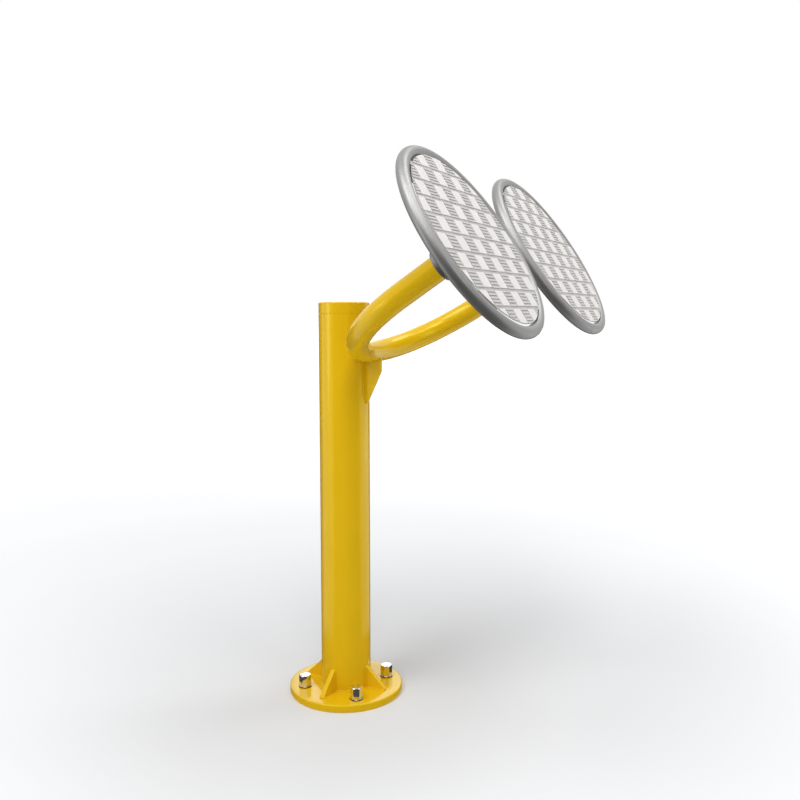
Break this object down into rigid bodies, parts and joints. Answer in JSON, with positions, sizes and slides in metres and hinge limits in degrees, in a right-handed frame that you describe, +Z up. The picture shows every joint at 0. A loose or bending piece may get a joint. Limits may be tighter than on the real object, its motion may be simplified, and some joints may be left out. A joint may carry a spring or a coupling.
{
  "type": "tai chi wheel",
  "caption": "Outdoor fitness station: a round post on a bolted base plate carries a U-bent arm with two large tilted hand wheels that turn freely.",
  "frame": {"origin": "centre of the base plate's underside, on the ground", "axes": "+Z up along the post, -Y towards the user who stands before the wheels, +X to that user's right"},
  "size_m": [1.028, 0.8016, 1.4446],
  "materials": {
    "frame_paint": "glossy yellow powder coat",
    "bright_plating": "polished",
    "rim_metal": "satin grey",
    "wheel_metal": "satin grey",
    "steel": "ground",
    "dark_steel": "blackened",
    "cage_brass": "pressed",
    "seal_rubber": "matt",
    "tread_grey": "moulded, fine ribs",
    "pad_white": "smooth"
  },
  "bodies": {
    "stand": {"base_plate": "frame_paint", "base_gussets": "frame_paint", "post": "frame_paint", "post_cap": "frame_paint", "arm_tube": "frame_paint", "arm_gusset": "frame_paint", "anchor_washers": "bright_plating", "anchor_cap_nuts": "bright_plating", "end_plug_left": "dark_steel", "end_plug_right": "dark_steel", "spindle_left": "steel", "spindle_right": "steel", "cross_pin_left": "dark_steel", "cross_pin_right": "dark_steel", "inner_races_left": "steel", "inner_races_right": "steel", "balls_left": "steel", "balls_right": "steel", "cages_left": "cage_brass", "cages_right": "cage_brass", "spacer_left": "steel", "spacer_right": "steel", "spindle_washer_left": "bright_plating", "spindle_washer_right": "bright_plating", "spindle_nut_left": "bright_plating", "spindle_nut_right": "bright_plating"},
    "wheel_left": {"rim_left": "rim_metal", "carrier_left": "wheel_metal", "hub_left": "wheel_metal", "outer_races_left": "steel", "retaining_ring_left": "dark_steel", "dust_seal_left": "seal_rubber", "tread_panel_left": "tread_grey", "tread_pads_left": "pad_white", "flange_screws_left": "bright_plating"},
    "wheel_right": {"rim_right": "rim_metal", "carrier_right": "wheel_metal", "hub_right": "wheel_metal", "outer_races_right": "steel", "retaining_ring_right": "dark_steel", "dust_seal_right": "seal_rubber", "tread_panel_right": "tread_grey", "tread_pads_right": "pad_white", "flange_screws_right": "bright_plating"}
  },
  "joints": [
    {"name": "left_wheel_turn", "type": "hinge", "parent": "stand", "child": "wheel_left", "pos_m": [-0.264, -0.50097, 1.23127], "axis": [0, -0.8443, 0.5358], "continuous": true},
    {"name": "right_wheel_turn", "type": "hinge", "parent": "stand", "child": "wheel_right", "pos_m": [0.264, -0.50097, 1.23127], "axis": [0, -0.8443, 0.5358], "continuous": true}
  ]
}
